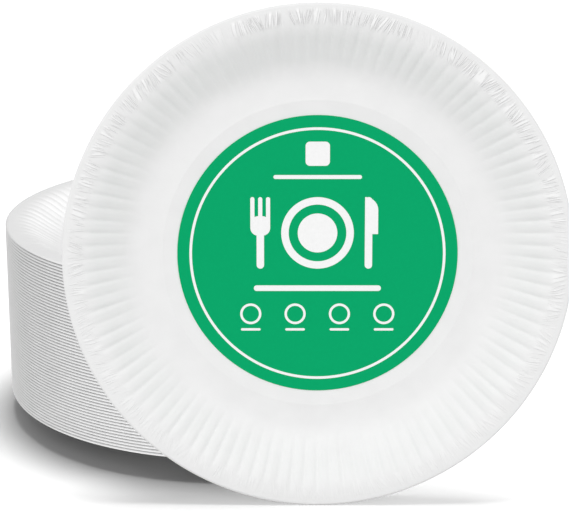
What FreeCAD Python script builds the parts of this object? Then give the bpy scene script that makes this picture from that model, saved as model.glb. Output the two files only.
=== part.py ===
"""A stack of fluted paper plates, and one more plate of the pack leaning on it with its label.

The stack stands on its lowest plate with its axis on Z and its bowls up. The leaning plate
stands on its rim in front of the stack, on the -Y side, and shows its bowl and its label.
The label's print is plain shapes: a ring, bars, and a plate between a fork and a knife.
"""
import FreeCAD
import Part

import math
import os
from FreeCAD import Placement, Rotation, Vector

# Plate, as it lies on its base with its bowl up
plate_diameter = 230.0
base_diameter = 170.0            # flat base, out to where the wall starts
wall_top_diameter = 211.0        # where the wall meets the lip
plate_rise = 13.0                # from the base up to the lip, underside to underside
paper = 0.45                     # thickness of the board
lip_curl_width = 1.2             # outer edge of the lip, which is rolled down
lip_curl_turn = 60.0             # degrees that the lip has turned down at its edge

# Flutes pressed into the wall
flute_count = 108
flute_depth = 0.89               # ridge above valley at the top of the wall, straight up

# Shallow ring pressed up into the base
bead_diameter = 141.2
bead_width = 1.8
bead_height = 0.15

# Stack
stacked_plates = 57
nest_gap = 0.1                   # room between the flutes of one plate and the next

# Leaning plate
lean = 5.9                       # degrees back from upright
lean_shift = 42.0                # its middle, to the right of the stack's axis
rest_gap = 0.1                   # between its back and the rim that it leans on

# Round label on the leaning plate
label_diameter = 127.6
label_thickness = 0.3

# White print on the label, with heights measured from the label's middle
ink = 0.1
ring_inset = 6.1                 # from the label's edge to the middle of the thin ring
ring_line = 1.2
tile_size = 11.0                 # rounded square at the top
tile_corner = 2.0
tile_gap = 5.3                   # from the ring down to the square
upper_bar_width = 40.0
upper_bar_height = 1.8
upper_bar_y = 35.7
lower_bar_width = 58.0
lower_bar_height = 2.6
lower_bar_y = -15.6
picture_y = 10.0                 # plate, fork and knife
picture_height = 33.0
dish_line = 3.4                  # rim of the pictured plate
dish_well_diameter = 18.0
cutlery_gap = 5.0                # from the pictured plate to the fork and to the knife
handle_width = 3.4
fork_width = 9.0
tine_width = 1.9
tine_length = 11.0
knife_width = 6.0
blade_length = 17.0
badge_count = 4
badge_pitch = 20.3
badge_diameter = 8.6
badge_line = 1.1
badge_y = -27.6
badge_bar_width = 9.0
badge_bar_height = 1.1
badge_bar_gap = 1.9              # from the badge down to its bar

# Worked out from the sizes above
plate_radius = plate_diameter / 2
base_radius = base_diameter / 2
wall_top_radius = wall_top_diameter / 2
bead_radius = bead_diameter / 2
wall_slope = plate_rise / (wall_top_radius - base_radius)
ridge_share = 1 / (1 + flute_depth / (wall_slope * wall_top_radius))
half_flute = math.pi / flute_count
curl_start = plate_radius - lip_curl_width
curl_turn = math.radians(lip_curl_turn)
curl_outer = lip_curl_width / math.sin(curl_turn)
curl_inner = curl_outer - paper
curl_centre_z = plate_rise + paper - curl_outer

up = Vector(0, 0, 1)


def flute_points(valley_radius, z):
    """Corners of the wall at one height: valleys at valley_radius, and ridges a little further in."""
    points = []
    for step in range(2 * flute_count):
        radius = valley_radius * (ridge_share if step % 2 else 1)
        angle = step * half_flute
        points.append(Vector(radius * math.cos(angle), radius * math.sin(angle), z))
    return points


def panel_rise():
    """Height of the board in a flute's sloping panel, measured straight up."""
    low = flute_points(base_radius, 0)
    high = flute_points(wall_top_radius, plate_rise)
    normal = (low[1] - low[0]).cross(high[0] - low[0])
    return paper * normal.Length / abs(normal.z)


def closed_wire(points):
    return Part.makePolygon(points + points[:1])


def circle_wire(radius, z):
    return Part.Wire(Part.makeCircle(radius, Vector(0, 0, z)))


def flat_ring(outer, inner):
    return Part.makeFace([outer, inner], "Part::FaceMakerBullseye")


def wall_panels(low, high):
    """Flat four-cornered panels between the corners at the foot and those at the top of the wall."""
    panels = []
    for here in range(len(low)):
        after = (here + 1) % len(low)
        corners = [low[here], low[after], high[after], high[here]]
        panels.append(Part.Face(closed_wire(corners)))
    return panels


def turned(edge):
    return edge.revolve(Vector(0, 0, 0), up, 360).Faces


def curl_point(radius, turn):
    return Vector(curl_start + radius * math.sin(turn), 0, curl_centre_z + radius * math.cos(turn))


def curl_skin(radius):
    arc = Part.Arc(curl_point(radius, 0), curl_point(radius, curl_turn / 2), curl_point(radius, curl_turn))
    return turned(arc.toShape())


def base_skin(z, foot):
    """One side of the base: disc, pressed ring, and the flat band out to the wall's foot."""
    inner = bead_radius - bead_width / 2
    outer = bead_radius + bead_width / 2
    crest = Vector(bead_radius, 0, z + bead_height)
    skin = [Part.Face(circle_wire(inner, z)), flat_ring(closed_wire(foot), circle_wire(outer, z))]
    skin += turned(Part.makeLine(Vector(inner, 0, z), crest))
    skin += turned(Part.makeLine(crest, Vector(outer, 0, z)))
    return skin


def plate_side(lift, wall_lift, curl_radius):
    """One side of the plate. lift raises the flat parts, and wall_lift raises the wall's panels."""
    foot_radius = base_radius + (lift - wall_lift) / wall_slope
    top_radius = wall_top_radius + (lift - wall_lift) / wall_slope
    foot = flute_points(foot_radius, lift)
    top = flute_points(top_radius, plate_rise + lift)
    lip = flat_ring(circle_wire(curl_start, plate_rise + lift), closed_wire(top))
    return base_skin(lift, foot) + wall_panels(foot, top) + [lip] + curl_skin(curl_radius)


def plate():
    """One plate at the origin, pressed from a single disc of board."""
    faces = plate_side(0, 0, curl_inner) + plate_side(paper, panel_rise(), curl_outer)
    edge = Part.makeLine(curl_point(curl_inner, curl_turn), curl_point(curl_outer, curl_turn))
    faces += turned(edge)
    skin = Part.makeCompound(faces)
    skin.sewShape()
    solid = Part.makeSolid(skin)
    if solid.Volume < 0:
        solid.reverse()
    return solid


def stack_pitch():
    """Rise from one plate to the next, with the ridges of one under the valleys of the other."""
    return panel_rise() + flute_depth + nest_gap


def stacked(shape, index):
    placed = shape.copy()
    angle = math.degrees(half_flute) * (index % 2)
    placed.Placement = Placement(Vector(0, 0, index * stack_pitch()), Rotation(up, angle))
    return placed


def lean_placement():
    """Rim on the floor, and the back of the base against the rim of the stack's top plate."""
    angle = math.radians(lean)
    rim = curl_point(curl_outer, curl_turn)
    height = rim.x * math.cos(angle) - rim.z * math.sin(angle)
    stack_rim = (stacked_plates - 1) * stack_pitch() + rim.z
    depth = -rim.x - (rest_gap + (stack_rim - height) * math.sin(angle)) / math.cos(angle)
    return Placement(Vector(lean_shift, depth, height), Rotation(Vector(1, 0, 0), 90 - lean))


def label():
    """Disc of printed paper on the inside of the leaning plate's base."""
    return Part.makeCylinder(label_diameter / 2, label_thickness, Vector(0, 0, paper))


def printed(face):
    """Ink in the outline of a face that is drawn on the plane of the label's middle."""
    solid = face.extrude(Vector(0, 0, ink))
    solid.translate(Vector(0, 0, paper + label_thickness))
    return solid


def disc(radius, x, y):
    return Part.Face(Part.Wire(Part.makeCircle(radius, Vector(x, y, 0))))


def printed_ring(diameter, line, x, y):
    return printed(disc((diameter + line) / 2, x, y).cut(disc((diameter - line) / 2, x, y)))


def bar(width, height, corner, x, y):
    """Rectangle about x, y with round corners."""
    arcs = []
    for quarter, (across, along) in enumerate(((1, 1), (-1, 1), (-1, -1), (1, -1))):
        centre = Vector(x + across * (width / 2 - corner), y + along * (height / 2 - corner), 0)
        arcs.append(Part.makeCircle(corner, centre, up, 90 * quarter, 90 * quarter + 90))
    edges = list(arcs)
    for arc, following in zip(arcs, arcs[1:] + arcs[:1]):
        start = arc.Vertexes[-1].Point
        end = following.Vertexes[0].Point
        if start.distanceToPoint(end) > 1e-6:
            edges.append(Part.makeLine(start, end))
    return Part.Face(Part.Wire(Part.__sortEdges__(edges)))


def pictured_dish():
    """Plate seen from above: its rim, and its well inside it."""
    rim = printed_ring(picture_height - dish_line, dish_line, 0, picture_y)
    return [rim, printed(disc(dish_well_diameter / 2, 0, picture_y))]


def joined(faces):
    """One printed shape from faces that overlap."""
    pieces = [printed(face) for face in faces]
    return pieces[0].fuse(pieces[1:]).removeSplitter().Solids[0]


def pictured_fork(x):
    """Handle, a neck as wide as the fork, and three tines up from it."""
    foot = picture_y - picture_height / 2
    top = foot + picture_height
    neck_y = top - tine_length
    handle_height = neck_y - foot
    faces = [bar(handle_width, handle_height, handle_width / 2, x, foot + handle_height / 2)]
    faces.append(bar(fork_width, fork_width, fork_width / 2.5, x, neck_y - fork_width / 4))
    for step in (-1, 0, 1):
        tine_x = x + step * (fork_width - tine_width) / 2
        tine_height = tine_length + tine_width
        faces.append(bar(tine_width, tine_height, tine_width / 2, tine_x, top - tine_height / 2))
    return joined(faces)


def pictured_knife(x):
    """Handle, and a blade whose back is straight and whose edge bulges out."""
    foot = picture_y - picture_height / 2
    top = foot + picture_height
    back = x - handle_width / 2
    blade = bar(2 * knife_width, 2 * blade_length, knife_width, back, top - blade_length)
    window = Part.makePlane(knife_width, blade_length, Vector(back, top - blade_length, 0))
    handle = bar(handle_width, picture_height, handle_width / 2, x, picture_y)
    return joined([handle, blade.common(window).Faces[0]])


def badge(x):
    """Small ring with a short bar under it."""
    bar_y = badge_y - (badge_diameter + badge_line) / 2 - badge_bar_gap - badge_bar_height / 2
    line = bar(badge_bar_width, badge_bar_height, badge_bar_height / 2, x, bar_y)
    return [printed_ring(badge_diameter, badge_line, x, badge_y), printed(line)]


def label_print():
    """All of the white print, as thin flat pieces on the label."""
    ring_radius = label_diameter / 2 - ring_inset
    tile_y = ring_radius - ring_line / 2 - tile_gap - tile_size / 2
    shapes = [printed_ring(2 * ring_radius, ring_line, 0, 0)]
    shapes.append(printed(bar(tile_size, tile_size, tile_corner, 0, tile_y)))
    shapes.append(printed(bar(upper_bar_width, upper_bar_height, upper_bar_height / 2, 0, upper_bar_y)))
    shapes.append(printed(bar(lower_bar_width, lower_bar_height, lower_bar_height / 2, 0, lower_bar_y)))
    shapes += pictured_dish()
    shapes.append(pictured_fork(-(picture_height / 2 + cutlery_gap + fork_width / 2)))
    shapes.append(pictured_knife(picture_height / 2 + cutlery_gap + handle_width / 2))
    for index in range(badge_count):
        shapes += badge((index - (badge_count - 1) / 2) * badge_pitch)
    return Part.makeCompound(shapes)


def leaning(shape):
    placed = shape.copy()
    placed.Placement = lean_placement()
    return placed


def write(name, shape):
    shape.exportStep(os.path.join("parts", name + ".step"))


os.makedirs("parts", exist_ok=True)
one_plate = plate()
for index in range(stacked_plates):
    write("plate_%02d" % (index + 1), stacked(one_plate, index))
write("leaning_plate", leaning(one_plate))
write("label", leaning(label()))
write("label_print", leaning(label_print()))
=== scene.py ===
"""Stack of pressed paper plates with one more plate leaning on it, and its round printed label."""

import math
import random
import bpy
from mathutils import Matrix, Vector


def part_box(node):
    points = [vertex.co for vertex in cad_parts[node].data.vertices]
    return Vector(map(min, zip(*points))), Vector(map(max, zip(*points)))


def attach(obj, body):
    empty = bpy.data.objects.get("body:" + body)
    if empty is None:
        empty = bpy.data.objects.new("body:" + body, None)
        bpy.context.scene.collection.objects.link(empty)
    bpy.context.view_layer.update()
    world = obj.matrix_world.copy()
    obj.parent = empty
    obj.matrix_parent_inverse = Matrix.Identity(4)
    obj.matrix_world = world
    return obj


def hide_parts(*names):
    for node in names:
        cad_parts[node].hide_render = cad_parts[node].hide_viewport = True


bl_info = {
    "name": "Paper plate stack",
    "version": (1, 0, 0),
    "blender": (4, 5, 0),
    "location": "3D view > Sidebar > Plates",
    "description": "Finishes a stack of fluted paper plates and the labelled plate that leans on it",
    "category": "Add Mesh",
}

import bmesh
import bpy
from bpy.props import FloatProperty, IntProperty, PointerProperty, StringProperty
from mathutils import Euler, Vector

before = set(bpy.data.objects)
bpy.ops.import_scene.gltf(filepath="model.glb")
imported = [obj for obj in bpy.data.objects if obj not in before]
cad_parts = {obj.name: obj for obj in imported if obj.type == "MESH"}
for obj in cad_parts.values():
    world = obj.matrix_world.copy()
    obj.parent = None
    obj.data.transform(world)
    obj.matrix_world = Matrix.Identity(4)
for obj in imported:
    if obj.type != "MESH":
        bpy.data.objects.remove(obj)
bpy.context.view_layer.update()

MM = 0.001
STACK = sorted(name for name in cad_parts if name.startswith("plate_"))
TOP_NODE = STACK[-1]
LEANING_NODE = "leaning_plate"
LABEL_NODE = "label"
PRINT_NODE = "label_print"
LABEL_THICKNESS = 0.3 * MM
PAPER_ROUGHNESS = 0.65
BOARD_ROUGHNESS = 0.55
BURNISHED_ROUGHNESS = 0.3
FLOOR_ACROSS = 12.0
FLOOR_SEEN = 0.3
FLOOR_THROWN = 0.15
IMAGE_WIDTH = 569
SENSOR = 36.0


def node_size(name):
    low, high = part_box(name)
    return high - low


RIM_RADIUS = node_size(TOP_NODE).x / 2


class PlateSizes(bpy.types.PropertyGroup):
    """Sizes of one pressed plate, lying on its base"""

    base_radius: FloatProperty(
        name="Base", description="Middle of the flutes at the foot of the wall",
        default=84.4 * MM, unit="LENGTH",
    )
    wall_top_radius: FloatProperty(
        name="Wall top", description="Middle of the flutes at the top of the wall",
        default=104.8 * MM, unit="LENGTH",
    )
    rise: FloatProperty(
        name="Rise", description="From the underside of the base to the underside of the lip",
        default=13.0 * MM, unit="LENGTH",
    )
    board: FloatProperty(
        name="Board", description="Thickness of the board", default=0.45 * MM, unit="LENGTH",
    )
    curl_width: FloatProperty(
        name="Curl width", description="Outer edge of the lip, which is rolled down",
        default=1.2 * MM, unit="LENGTH",
    )
    curl_turn: FloatProperty(
        name="Curl turn", description="How far the lip has turned down at its edge",
        default=math.radians(60), subtype="ANGLE",
    )
    foot_fillet: FloatProperty(
        name="Foot fillet", description="Radius of the soft bend from base to wall",
        default=20 * MM, unit="LENGTH",
    )
    top_fillet: FloatProperty(
        name="Top fillet", description="Radius of the bend from wall to lip",
        default=19 * MM, unit="LENGTH",
    )
    flutes: IntProperty(name="Flutes", description="Flutes round the wall", default=108)
    flute_depth: FloatProperty(
        name="Flute depth", description="Ridge above valley, straight up",
        default=0.89 * MM, unit="LENGTH",
    )
    groove_width: FloatProperty(
        name="Groove width", description="Half width of a valley, as a share of one flute",
        default=0.21,
    )
    bead_radius: FloatProperty(
        name="Bead", description="Radius of the shallow ring pressed into the base",
        default=70.6 * MM, unit="LENGTH",
    )
    bead_width: FloatProperty(
        name="Bead width", description="Width of that ring", default=1.8 * MM, unit="LENGTH",
    )
    bead_height: FloatProperty(
        name="Bead height", description="Height of that ring", default=0.15 * MM, unit="LENGTH",
    )


class Finishes(bpy.types.PropertyGroup):
    """Colours of the board and the print, as sRGB hex values"""

    board_white: StringProperty(
        name="Board", description="Clay-coated white face of the board", default="#F3F3F3",
    )
    board_shade: StringProperty(
        name="Board cloud", description="Faint clouds in the coating", default="#F0F0F0",
    )
    label_green: StringProperty(
        name="Label", description="Green printing ink", default="#04AC6D",
    )
    print_white: StringProperty(
        name="Print", description="White of the label's marks", default="#FFFFFF",
    )
    # Painted highlight: pure white mixed into the crests of the lip's creases.
    crease_highlight_white: StringProperty(
        name="Creases", description="Coating burnished along the lip's creases", default="#FFFFFF",
    )


class StageSettings(bpy.types.PropertyGroup):
    """Camera and lights"""

    camera_across: FloatProperty(
        name="Camera across", description="To the right of the stack's axis",
        default=27.0 * MM, unit="LENGTH",
    )
    camera_back: FloatProperty(
        name="Camera back", description="In front of the stack's axis", default=0.977, unit="LENGTH",
    )
    camera_height: FloatProperty(
        name="Camera height", description="Above the floor", default=0.374, unit="LENGTH",
    )
    camera_pitch: FloatProperty(
        name="Camera pitch", description="How far the camera looks down",
        default=math.radians(16.88), subtype="ANGLE",
    )
    camera_focal: FloatProperty(
        name="Focal length", description="In pixels of the image's width", default=1980.0,
    )
    sky: FloatProperty(name="Sky", description="Even light from all sides", default=0.70)
    key: FloatProperty(name="Key", description="Soft lamp in front, above and to the left", default=1.0)
    back_lamp: FloatProperty(
        name="Back lamp", description="Soft lamp behind, for the back of the leaning plate",
        default=0.8,
    )
    stack_lamp: FloatProperty(
        name="Stack lamp", description="Soft lamp at the right in front, that only the stack gets",
        default=2.3,
    )
    wide_floor_lamp: FloatProperty(
        name="Wide floor lamp", description="Only the floor gets it, for the stack's soft shadow",
        default=5.4,
    )
    narrow_floor_lamp: FloatProperty(
        name="Narrow floor lamp", description="Only the floor gets it, for the shadow at the rim",
        default=4.6,
    )


def linear(hex_colour):
    """sRGB hex value as a linear colour with alpha."""
    values = [int(hex_colour[place:place + 2], 16) / 255 for place in (1, 3, 5)]
    return [v / 12.92 if v <= 0.04045 else ((v + 0.055) / 1.055) ** 2.4 for v in values] + [1.0]


def add(tree, kind, settings=None, inputs=None):
    """A node with its settings, and its inputs set to values or joined to other nodes' outputs."""
    node = tree.nodes.new(kind)
    for name, value in (settings or {}).items():
        setattr(node, name, value)
    for key, value in (inputs or {}).items():
        if isinstance(value, bpy.types.NodeSocket):
            tree.links.new(value, node.inputs[key])
        else:
            node.inputs[key].default_value = value
    return node


def new_material(name):
    material = bpy.data.materials.new(name)
    material.use_nodes = True
    material.node_tree.nodes.clear()
    return material


def plate_coordinates(tree, place, tilt):
    """Position in a plate's own axes: radius and angle round its middle, and the position itself."""
    position = add(tree, "ShaderNodeTexCoord").outputs["Object"]
    mapping = add(tree, "ShaderNodeMapping", {"vector_type": "TEXTURE"},
                  {"Vector": position, "Location": place, "Rotation": tilt})
    own = mapping.outputs["Vector"]
    split = add(tree, "ShaderNodeSeparateXYZ", inputs={"Vector": own})
    angle = add(tree, "ShaderNodeMath", {"operation": "ARCTAN2"},
                {0: split.outputs["Y"], 1: split.outputs["X"]}).outputs[0]
    flat = add(tree, "ShaderNodeCombineXYZ",
               inputs={"X": split.outputs["X"], "Y": split.outputs["Y"]}).outputs[0]
    radius = add(tree, "ShaderNodeVectorMath", {"operation": "LENGTH"}, {0: flat}).outputs["Value"]
    return radius, angle, own


def ramp(tree, value, stops):
    """Grey ramp over value, from (place, brightness) stops."""
    node = add(tree, "ShaderNodeValToRGB", inputs={"Fac": value})
    elements = node.color_ramp.elements
    while len(elements) < len(stops):
        elements.new(1.0)
    for element, (place, level) in zip(elements, stops):
        element.position = place
        element.color = (level, level, level, 1.0)
    return node.outputs["Color"]


def maths(tree, operation, first, second=0.0, third=0.0):
    node = add(tree, "ShaderNodeMath", {"operation": operation}, {0: first, 1: second, 2: third})
    return node.outputs[0]


def band(tree, radius, start, full, fade, end):
    """1 between the radii full and fade, and 0 outside start and end."""
    rising = add(tree, "ShaderNodeMapRange", {"interpolation_type": "SMOOTHSTEP"},
                 {"Value": radius, "From Min": start, "From Max": full}).outputs["Result"]
    falling = add(tree, "ShaderNodeMapRange", {"interpolation_type": "SMOOTHSTEP"},
                  {"Value": radius, "From Min": fade, "From Max": end, "To Min": 1.0, "To Max": 0.0})
    return maths(tree, "MULTIPLY", rising, falling.outputs["Result"])


def gathers(tree, radius, angle, per_turn, stretch, seed):
    """Fine creases that run outwards, where the pressed board has more length than room."""
    round_x = maths(tree, "MULTIPLY", maths(tree, "COSINE", angle), per_turn)
    round_y = maths(tree, "MULTIPLY", maths(tree, "SINE", angle), per_turn)
    along = maths(tree, "MULTIPLY", radius, stretch)
    spot = add(tree, "ShaderNodeCombineXYZ", inputs={"X": round_x, "Y": round_y, "Z": along}).outputs[0]
    noise = add(tree, "ShaderNodeTexNoise", {"noise_dimensions": "4D"},
                {"Vector": spot, "W": seed, "Scale": 1.0, "Detail": 1.0, "Roughness": 0.5})
    return noise.outputs["Fac"]


def lip_creases(tree, radius, angle):
    """Height of the creases where the rim of the disc was gathered in, in patches round the lip.

    They are deepest on the upper half. coated_board also whitens their crests by this share, as a painted
    highlight, so that is strongest on the upper half too.
    """
    lip = band(tree, radius, *(share * RIM_RADIUS for share in (0.905, 0.935, 0.965, 0.985)))
    sway = maths(tree, "SUBTRACT", gathers(tree, radius, angle, 12.0, 12.0, 5.0), 0.5)
    outwards = maths(tree, "SUBTRACT", radius, 0.95 * RIM_RADIUS)
    swayed = maths(tree, "MULTIPLY_ADD", maths(tree, "MULTIPLY", sway, 20.0), outwards, angle)
    fine = ramp(tree, gathers(tree, radius, swayed, 130.0, 70.0, 3.0), [(0.47, 0.0), (0.58, 1.0)])
    patches = ramp(tree, gathers(tree, radius, angle, 5.0, 12.0, 8.0), [(0.28, 0.3), (0.46, 1.0)])
    # Weights the creases, and so their painted highlight, towards the upper half.
    upper_half_weight = maths(tree, "MULTIPLY_ADD", maths(tree, "SINE", angle), 0.4, 0.6)
    patches = maths(tree, "MULTIPLY", patches, upper_half_weight)
    return maths(tree, "MULTIPLY", maths(tree, "MULTIPLY", fine, patches), lip)


def coated_board(name, place=(0, 0, 0), tilt=(0, 0, 0), creased=True):
    """Clay-coated white paperboard, pressed in a heated die: matt white with a faint calendered sheen.

    The coating shows soft clouds about 12 mm across, a fine felt grain, and on a creased lip short
    streaks 1 to 2 mm apart, glossier along their crests, which are whitened as a painted highlight.
    The grain is drawn at 0.5 mm, three times its real size, so that it shows.
    """
    finish = bpy.context.scene.finishes
    material = new_material(name)
    tree = material.node_tree
    radius, angle, own = plate_coordinates(tree, place, tilt)
    clouds = add(tree, "ShaderNodeTexNoise", inputs={"Vector": own, "Scale": 1 / (12 * MM), "Detail": 3.0})
    tone = add(tree, "ShaderNodeMix", {"data_type": "RGBA"})
    tree.links.new(ramp(tree, clouds.outputs["Fac"], [(0.35, 0.0), (0.7, 1.0)]), tone.inputs["Factor"])
    tone.inputs["A"].default_value = linear(finish.board_white)
    tone.inputs["B"].default_value = linear(finish.board_shade)
    grain = add(tree, "ShaderNodeTexNoise", inputs={"Vector": own, "Scale": 1 / (0.5 * MM), "Detail": 2.0})
    bump = add(tree, "ShaderNodeBump",
               inputs={"Height": grain.outputs["Fac"], "Strength": 0.2, "Distance": 0.02 * MM})
    shader = add(tree, "ShaderNodeBsdfPrincipled", inputs={
        "Base Color": tone.outputs["Result"], "Roughness": BOARD_ROUGHNESS, "IOR": 1.5,
        "Normal": bump.outputs["Normal"],
    })
    if creased:
        creases = lip_creases(tree, radius, angle)
        # Painted highlight: the crease share mixes the colour towards white along the crests, beside the
        # crease bump and the lower roughness below.
        painted_highlight = add(tree, "ShaderNodeMix", {"data_type": "RGBA"})
        tree.links.new(creases, painted_highlight.inputs["Factor"])
        tree.links.new(tone.outputs["Result"], painted_highlight.inputs["A"])
        painted_highlight.inputs["B"].default_value = linear(finish.crease_highlight_white)
        tree.links.new(painted_highlight.outputs["Result"], shader.inputs["Base Color"])
        crease_bump = add(tree, "ShaderNodeBump", inputs={
            "Height": creases, "Strength": 1.0, "Distance": 0.34 * MM, "Normal": bump.outputs["Normal"]})
        tree.links.new(crease_bump.outputs["Normal"], shader.inputs["Normal"])
        rough = add(tree, "ShaderNodeMapRange", inputs={
            "Value": creases, "To Min": BOARD_ROUGHNESS, "To Max": BURNISHED_ROUGHNESS})
        tree.links.new(rough.outputs["Result"], shader.inputs["Roughness"])
    add(tree, "ShaderNodeOutputMaterial", inputs={"Surface": shader.outputs["BSDF"]})
    return material


def printed_paper(name, hex_colour):
    """Uncoated label paper, offset printed: an even, nearly matt colour with a trace of paper grain."""
    material = new_material(name)
    tree = material.node_tree
    own = add(tree, "ShaderNodeTexCoord").outputs["Object"]
    mottle = add(tree, "ShaderNodeTexNoise", inputs={"Vector": own, "Scale": 1 / (1.5 * MM), "Detail": 3.0})
    level = ramp(tree, mottle.outputs["Fac"], [(0.3, 0.97), (0.7, 1.0)])
    colour = add(tree, "ShaderNodeMix", {"data_type": "RGBA", "blend_type": "MULTIPLY"})
    colour.inputs["Factor"].default_value = 1.0
    colour.inputs["A"].default_value = linear(hex_colour)
    tree.links.new(level, colour.inputs["B"])
    grain = add(tree, "ShaderNodeTexNoise", inputs={"Vector": own, "Scale": 1 / (0.4 * MM), "Detail": 2.0})
    bump = add(tree, "ShaderNodeBump",
               inputs={"Height": grain.outputs["Fac"], "Strength": 0.2, "Distance": 0.01 * MM})
    shader = add(tree, "ShaderNodeBsdfPrincipled", inputs={
        "Base Color": colour.outputs["Result"], "Roughness": PAPER_ROUGHNESS, "IOR": 1.5,
        "Specular IOR Level": 0.05, "Normal": bump.outputs["Normal"],
    })
    add(tree, "ShaderNodeOutputMaterial", inputs={"Surface": shader.outputs["BSDF"]})
    return material


def give(piece, material):
    """One material all over, in the slot that the piece has."""
    if not piece.data.materials:
        piece.data.materials.append(material)
    for slot in range(len(piece.data.materials)):
        piece.data.materials[slot] = material


def arc_points(centre_r, centre_z, radius, start, end, steps):
    """Points of an arc in the section of a plate, with angles from straight up, turning outwards."""
    points = []
    for step in range(steps + 1):
        angle = start + (end - start) * step / steps
        points.append((centre_r + radius * math.sin(angle), centre_z + radius * math.cos(angle)))
    return points


def plate_section(sizes):
    """Underside of a plate from the pressed ring outwards, as (radius, height) points."""
    bead = [(sizes.bead_radius + share * sizes.bead_width / 2, sizes.bead_height * (1 - abs(share)))
            for share in (-1, -0.5, 0, 0.5, 1)]
    run = sizes.wall_top_radius - sizes.base_radius
    slope = math.atan2(sizes.rise, run)
    foot_back = sizes.foot_fillet * math.tan(slope / 2)
    top_back = sizes.top_fillet * math.tan(slope / 2)
    foot_start = sizes.base_radius - foot_back
    foot = arc_points(foot_start, sizes.foot_fillet, sizes.foot_fillet, math.pi, math.pi - slope, 6)
    top_start = sizes.wall_top_radius + top_back
    top = arc_points(top_start, sizes.rise - sizes.top_fillet, sizes.top_fillet, -slope, 0, 4)
    wall = []
    for step in range(1, 8):
        share = step / 8
        wall.append((foot[-1][0] + share * (top[0][0] - foot[-1][0]),
                     foot[-1][1] + share * (top[0][1] - foot[-1][1])))
    inner = sizes.curl_width / math.sin(sizes.curl_turn) - sizes.board
    curl_start = RIM_RADIUS - sizes.curl_width
    curl = arc_points(curl_start, sizes.rise - inner, inner, 0, sizes.curl_turn, 8)
    flat = [(curl_start - share * (curl_start - top[-1][0]), sizes.rise) for share in (0.66, 0.33)]
    return bead + foot + wall + top + flat + curl


def smooth_step(low, high, value):
    share = min(1.0, max(0.0, (value - low) / (high - low)))
    return share * share * (3 - 2 * share)


def flute_share(sizes, radius):
    """How deep the flutes are at a radius: growing up the wall, and none on the base and the lip."""
    wall = sizes.wall_top_radius - sizes.base_radius
    rise = smooth_step(sizes.base_radius - 0.15 * wall, sizes.base_radius + 0.75 * wall, radius)
    fall = 1 - smooth_step(sizes.wall_top_radius - 0.1 * wall, sizes.wall_top_radius + 0.2 * wall, radius)
    return rise * fall


def select_only(piece):
    bpy.ops.object.select_all(action="DESELECT")
    piece.select_set(True)
    bpy.context.view_layer.objects.active = piece


def apply_modifier(piece, kind, settings):
    select_only(piece)
    modifier = piece.modifiers.new(kind.title(), kind)
    for name, value in settings.items():
        setattr(modifier, name, value)
    bpy.ops.object.modifier_apply(modifier=kind.title())


def press_flutes(piece, sizes, draw):
    """Pushes broad ridges up and narrow valleys down, no two flutes quite as deep."""
    ridges = piece.vertex_groups.new(name="ridges")
    valleys = piece.vertex_groups.new(name="valleys")
    depth = [draw.uniform(0.55, 0.95) for flute in range(sizes.flutes)]
    for vertex in piece.data.vertices:
        radius = math.hypot(vertex.co.x, vertex.co.y)
        turn = (math.atan2(vertex.co.y, vertex.co.x) / math.tau) % 1.0 * sizes.flutes
        from_valley = turn - round(turn)
        wave = 1 - 2 * math.exp(-(from_valley / sizes.groove_width) ** 2)
        wave *= flute_share(sizes, radius) * depth[round(turn) % sizes.flutes]
        (ridges if wave > 0 else valleys).add([vertex.index], abs(wave), "REPLACE")
    # Applying a modifier gives the mesh new groups, so they are called by name here
    for group_name, side in (("ridges", 1), ("valleys", -1)):
        apply_modifier(piece, "DISPLACE", {
            "vertex_group": group_name, "direction": "Z", "mid_level": 0.0,
            "strength": side * sizes.flute_depth / 2,
        })
    piece.vertex_groups.clear()


def model_plate(name, sizes, draw):
    """A whole plate at the origin: a circle drawn out ring by ring, fluted, then given its thickness."""
    corners_per_flute = 10
    section = plate_section(sizes)
    radius, height = section[0]
    bpy.ops.object.select_all(action="DESELECT")
    bpy.ops.mesh.primitive_circle_add(
        vertices=sizes.flutes * corners_per_flute, radius=radius, location=(0, 0, height))
    piece = bpy.context.active_object
    piece.name = name
    bpy.ops.object.transform_apply(location=True)
    bpy.ops.object.mode_set(mode="EDIT")
    bpy.ops.mesh.select_all(action="SELECT")
    for next_radius, next_height in section[1:]:
        bpy.ops.mesh.extrude_region_move(
            TRANSFORM_OT_translate={"value": (0, 0, next_height - height)})
        growth = next_radius / radius
        bpy.ops.transform.resize(value=(growth, growth, 1), center_override=(0, 0, 0))
        radius, height = next_radius, next_height
    bpy.ops.mesh.select_all(action="DESELECT")
    mesh = bmesh.from_edit_mesh(piece.data)
    for edge in mesh.edges:
        edge.select = all(math.hypot(v.co.x, v.co.y) < section[0][0] + MM / 100 for v in edge.verts)
    bmesh.update_edit_mesh(piece.data)
    bpy.ops.mesh.edge_face_add()
    bpy.ops.mesh.select_all(action="SELECT")
    bpy.ops.mesh.normals_make_consistent(inside=False)
    bpy.ops.object.mode_set(mode="OBJECT")
    turn_upwards(piece)
    press_flutes(piece, sizes, draw)
    apply_modifier(piece, "SOLIDIFY", {"thickness": sizes.board, "offset": 1.0, "use_even_offset": True})
    select_only(piece)
    bpy.ops.object.shade_smooth_by_angle(angle=math.radians(35))
    return piece


def turn_upwards(piece):
    """Makes the open sheet's faces point up, so that its thickness is added above it."""
    if piece.data.polygons[-1].normal.z < 0:
        piece.data.flip_normals()


def low_corner(piece):
    corners = [piece.matrix_world @ Vector(corner) for corner in piece.bound_box]
    return Vector(min(corner[axis] for corner in corners) for axis in range(3))


def middle_x(piece):
    corners = [piece.matrix_world @ Vector(corner) for corner in piece.bound_box]
    return (min(c.x for c in corners) + max(c.x for c in corners)) / 2


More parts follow.
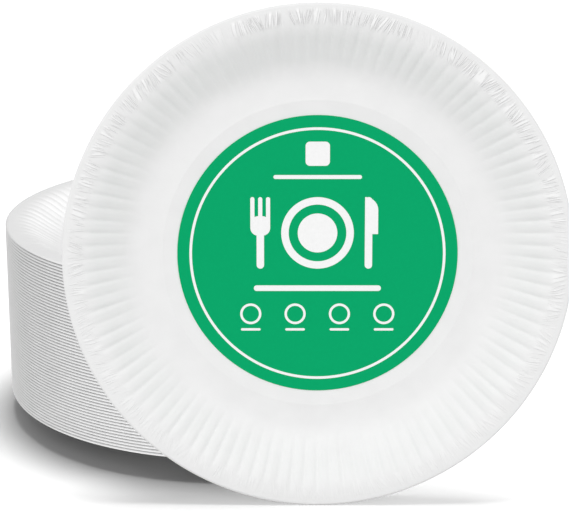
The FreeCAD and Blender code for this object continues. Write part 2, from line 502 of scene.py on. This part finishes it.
def lean_angle():
    """How far the leaning plate is tipped back, from the label's own height and depth."""
    size = node_size(LABEL_NODE)
    return math.asin(min(1.0, (size.y - LABEL_THICKNESS) / size.x))


def board_pose():
    """Where the leaning plate's middle is, and how it is turned."""
    low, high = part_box(LABEL_NODE)
    tilt = Euler((math.pi / 2 - lean_angle(), 0, 0))
    return (low + high) / 2, tilt


def stand_for(piece, node):
    """The piece takes the place of a plate of the model, and goes with it."""
    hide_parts(node)
    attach(piece, "root")


class STACK_OT_finish_plates(bpy.types.Operator):
    """Give the stacked plates their white coated board"""

    bl_idname = "plates.finish_plates"
    bl_label = "Finish stacked plates"

    def execute(self, context):
        board = coated_board("Clay coated paperboard", creased=False)
        for name in STACK:
            give(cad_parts[name], board)
        return {"FINISHED"}


class STACK_OT_top_plate(bpy.types.Operator):
    """Model the top plate of the stack, with rounded flutes and a soft foot"""

    bl_idname = "plates.top_plate"
    bl_label = "Top plate"

    def execute(self, context):
        piece = model_plate("top_plate", context.scene.plate_sizes, random.Random(11))
        low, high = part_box(TOP_NODE)
        half_flute = math.pi / context.scene.plate_sizes.flutes
        piece.rotation_euler = (0, 0, half_flute * (1 + (len(STACK) - 1) % 2))
        piece.location = ((low.x + high.x) / 2, (low.y + high.y) / 2, low.z)
        bpy.ops.object.transform_apply(location=True, rotation=True, scale=True)
        give(piece, bpy.data.materials["Clay coated paperboard"])
        stand_for(piece, TOP_NODE)
        return {"FINISHED"}


class STACK_OT_leaning_plate(bpy.types.Operator):
    """Model the plate that leans on the stack and shows its bowl"""

    bl_idname = "plates.leaning_plate"
    bl_label = "Leaning plate"

    def execute(self, context):
        piece = model_plate("front_plate", context.scene.plate_sizes, random.Random(5))
        middle, tilt = board_pose()
        piece.rotation_euler = tilt
        bpy.ops.object.transform_apply(rotation=True)
        low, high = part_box(LEANING_NODE)
        start = low_corner(piece)
        piece.location = ((low.x + high.x) / 2 - middle_x(piece), low.y - start.y, low.z - start.z)
        bpy.ops.object.transform_apply(location=True)
        give(piece, coated_board("Clay coated paperboard, leaning", middle, tilt))
        stand_for(piece, LEANING_NODE)
        return {"FINISHED"}


class STACK_OT_label(bpy.types.Operator):
    """Finish the round label and its white print"""

    bl_idname = "plates.label"
    bl_label = "Label"

    def execute(self, context):
        finish = context.scene.finishes
        give(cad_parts[LABEL_NODE], printed_paper("Green printed paper", finish.label_green))
        give(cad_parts[PRINT_NODE], printed_paper("White printing ink", finish.print_white))
        return {"FINISHED"}


def sun(name, strength, width, direction):
    """Far lamp that shines from direction and looks as wide as the angle width, in degrees."""
    bpy.ops.object.light_add(type="SUN", rotation=Vector(direction).to_track_quat("Z", "Y").to_euler())
    light = bpy.context.active_object
    light.name = name
    light.data.energy = strength
    light.data.angle = math.radians(width)
    return light


def group(name, pieces):
    """Collection of the pieces that a lamp lights, or of those that shade it."""
    collection = bpy.data.collections.new(name)
    for piece in pieces:
        collection.objects.link(piece)
    return collection


def white_to_the_eye(tree, surface):
    """The surface for light, and plain white for the camera, for mirrors and through glass."""
    path = add(tree, "ShaderNodeLightPath")
    seen = maths(tree, "MAXIMUM", path.outputs["Is Camera Ray"], path.outputs["Is Glossy Ray"])
    seen = maths(tree, "MAXIMUM", seen, path.outputs["Is Transmission Ray"])
    white = add(tree, "ShaderNodeBackground", inputs={"Color": (1, 1, 1, 1), "Strength": 1.0})
    return add(tree, "ShaderNodeMixShader", inputs={0: seen, 1: surface, 2: white.outputs[0]})


def sky(strength):
    world = bpy.data.worlds.new("Studio")
    bpy.context.scene.world = world
    world.use_nodes = True
    tree = world.node_tree
    tree.nodes.clear()
    light = add(tree, "ShaderNodeBackground", inputs={"Color": (1, 1, 1, 1), "Strength": strength})
    both = white_to_the_eye(tree, light.outputs[0])
    add(tree, "ShaderNodeOutputWorld", inputs={"Surface": both.outputs[0]})


def floor_material():
    """Matt paper sweep, which its own lamps make white. It throws less light back on the object."""
    material = new_material("Paper sweep")
    tree = material.node_tree
    seen = add(tree, "ShaderNodeBsdfDiffuse", inputs={"Color": (*[FLOOR_SEEN] * 3, 1)})
    thrown = add(tree, "ShaderNodeBsdfDiffuse", inputs={"Color": (*[FLOOR_THROWN] * 3, 1)})
    path = add(tree, "ShaderNodeLightPath")
    straight = maths(tree, "MAXIMUM", path.outputs["Is Camera Ray"], path.outputs["Is Glossy Ray"])
    both = add(tree, "ShaderNodeMixShader", inputs={0: straight, 1: thrown.outputs[0], 2: seen.outputs[0]})
    add(tree, "ShaderNodeOutputMaterial", inputs={"Surface": both.outputs[0]})
    return material


class STACK_OT_stage(bpy.types.Operator):
    """Set the white floor, the soft studio lamps and the camera"""

    bl_idname = "plates.stage"
    bl_label = "Stage"

    def execute(self, context):
        stage = context.scene.stage_settings
        bpy.ops.mesh.primitive_plane_add(size=FLOOR_ACROSS, location=(0, 0, 0))
        floor = context.active_object
        floor.name = "floor"
        floor.data.materials.append(floor_material())
        sky(stage.sky)
        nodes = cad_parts
        leaning = [bpy.data.objects["front_plate"], nodes[LABEL_NODE], nodes[PRINT_NODE]]
        stacked = [bpy.data.objects["top_plate"]] + [nodes[name] for name in STACK[:-1]]
        leaning_and_floor = group("Leaning plate and floor", leaning + [floor])
        stack_only = group("Stack", stacked)
        floor_only = group("Floor", [floor])
        # Each lamp's name, strength, width in degrees and direction, what it lights and what shades it
        lamps = (
            ("Key lamp", stage.key, 40, (-0.2, -1.0, 0.72), leaning_and_floor, None),
            ("Back lamp", stage.back_lamp, 40, (-0.7, 1.0, 0.5), leaning_and_floor, None),
            ("Stack lamp", stage.stack_lamp, 40, (0.5, -1.0, 0.2), stack_only, stack_only),
            ("Wide floor lamp", stage.wide_floor_lamp, 36, (1.2, 0.6, 8.0), floor_only, stack_only),
            ("Narrow floor lamp", stage.narrow_floor_lamp, 16, (0.7, 0.7, 8.0), floor_only, None),
        )
        for name, strength, width, direction, lit, shading in lamps:
            lamp = sun(name, strength, width, direction)
            lamp.light_linking.receiver_collection = lit
            lamp.light_linking.blocker_collection = shading
        place = (stage.camera_across, -stage.camera_back, stage.camera_height)
        bpy.ops.object.camera_add(location=place, rotation=(math.pi / 2 - stage.camera_pitch, 0, 0))
        camera = context.active_object
        camera.data.sensor_width = SENSOR
        camera.data.lens = stage.camera_focal / IMAGE_WIDTH * SENSOR
        camera.data.clip_start = 0.01
        context.scene.camera = camera
        context.scene.view_settings.view_transform = "Standard"
        return {"FINISHED"}


OPERATORS = (
    STACK_OT_finish_plates,
    STACK_OT_top_plate,
    STACK_OT_leaning_plate,
    STACK_OT_label,
    STACK_OT_stage,
)


class STACK_PT_panel(bpy.types.Panel):
    """The plates' sizes, colours and steps"""

    bl_label = "Plates"
    bl_idname = "STACK_PT_panel"
    bl_space_type = "VIEW_3D"
    bl_region_type = "UI"
    bl_category = "Plates"

    def draw(self, context):
        scene = context.scene
        for group in (scene.plate_sizes, scene.finishes, scene.stage_settings):
            box = self.layout.box()
            for name in group.__annotations__:
                box.prop(group, name)
        for operator in OPERATORS:
            self.layout.operator(operator.bl_idname)


CLASSES = (PlateSizes, Finishes, StageSettings, *OPERATORS, STACK_PT_panel)


def register():
    for item in CLASSES:
        bpy.utils.register_class(item)
    bpy.types.Scene.plate_sizes = PointerProperty(type=PlateSizes)
    bpy.types.Scene.finishes = PointerProperty(type=Finishes)
    bpy.types.Scene.stage_settings = PointerProperty(type=StageSettings)


def unregister():
    del bpy.types.Scene.stage_settings
    del bpy.types.Scene.finishes
    del bpy.types.Scene.plate_sizes
    for item in reversed(CLASSES):
        bpy.utils.unregister_class(item)


def main():
    register()
    bpy.ops.plates.finish_plates()
    bpy.ops.plates.top_plate()
    bpy.ops.plates.leaning_plate()
    bpy.ops.plates.label()
    bpy.ops.plates.stage()


if __name__ == "__main__":
    main()
